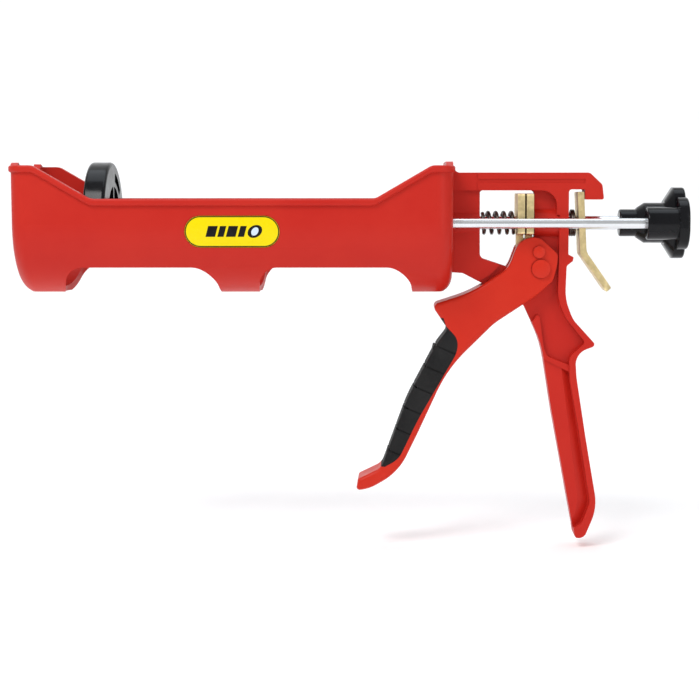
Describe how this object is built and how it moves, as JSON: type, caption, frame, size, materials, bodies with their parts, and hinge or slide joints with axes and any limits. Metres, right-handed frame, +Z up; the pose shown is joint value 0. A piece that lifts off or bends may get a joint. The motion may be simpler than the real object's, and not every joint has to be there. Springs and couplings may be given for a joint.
{
  "type": "caulking gun",
  "caption": "Hand-squeezed cartridge gun: open trough cradle, pistol grip, trigger with rubber grip, grip plates, release lever and a three-rod plunger with disc pusher and lobed knob.",
  "frame": {"origin": "rod axis at the inner face of the cradle's rear wall, where the cartridge sits back", "axes": "+X along the rods towards the rear knob, +Y across the gun away from the labelled side, +Z up out of the open cradle"},
  "size_m": [0.33, 0.0732, 0.1886],
  "materials": {
    "red_plastic": "satin moulded",
    "black_plastic": "gloss",
    "grip_rubber": "matte",
    "zinc_steel": "bright zinc plated",
    "yellow_zinc": "yellow passivated zinc",
    "spring_steel": "dark oiled wire",
    "label_film": "printed film"
  },
  "bodies": {
    "frame": {"body_moulding": "red_plastic", "label": "label_film"},
    "trigger": {"trigger": "red_plastic", "trigger_grip": "grip_rubber", "pivot_pin": "zinc_steel", "pivot_pin_caps": "red_plastic", "drive_pin": "zinc_steel", "drive_pin_caps": "red_plastic"},
    "plates": {"drive_plate_front": "yellow_zinc", "drive_plate_rear": "yellow_zinc", "return_spring": "spring_steel"},
    "lever": {"release_lever": "yellow_zinc", "release_spring": "spring_steel"},
    "plunger": {"centre_rod": "zinc_steel", "side_rod_near": "zinc_steel", "side_rod_far": "zinc_steel", "rear_knob": "black_plastic", "knob_screws": "zinc_steel", "outer_pusher": "black_plastic", "inner_pusher": "black_plastic", "pusher_screws": "zinc_steel"}
  },
  "joints": [
    {"name": "trigger_pivot", "type": "hinge", "parent": "frame", "child": "trigger", "pos_m": [0.0476, 0, -0.0226], "axis": [0, -1, 0], "range_deg": [0, 25], "stiffness_Nm_per_rad": 0.5, "springref_deg": -22.92},
    {"name": "plate_slide", "type": "slide", "parent": "frame", "child": "plates", "axis": [-1, 0, 0], "range_m": [0, 0.0035], "deforming": ["return_spring"]},
    {"name": "plunger_slide", "type": "slide", "parent": "frame", "child": "plunger", "axis": [1, 0, 0], "range_m": [-0.015, 0.163]},
    {"name": "release_lever_tilt", "type": "hinge", "parent": "frame", "child": "lever", "pos_m": [0.0693, 0, 0.014], "axis": [0, 1, 0], "range_deg": [0, 5], "stiffness_Nm_per_rad": 0.1, "springref_deg": -28.65, "deforming": ["release_spring"]}
  ],
  "couplings": [
    {"joint": "plate_slide", "follows": "trigger_pivot", "m_per_rad": 0.0078}
  ]
}
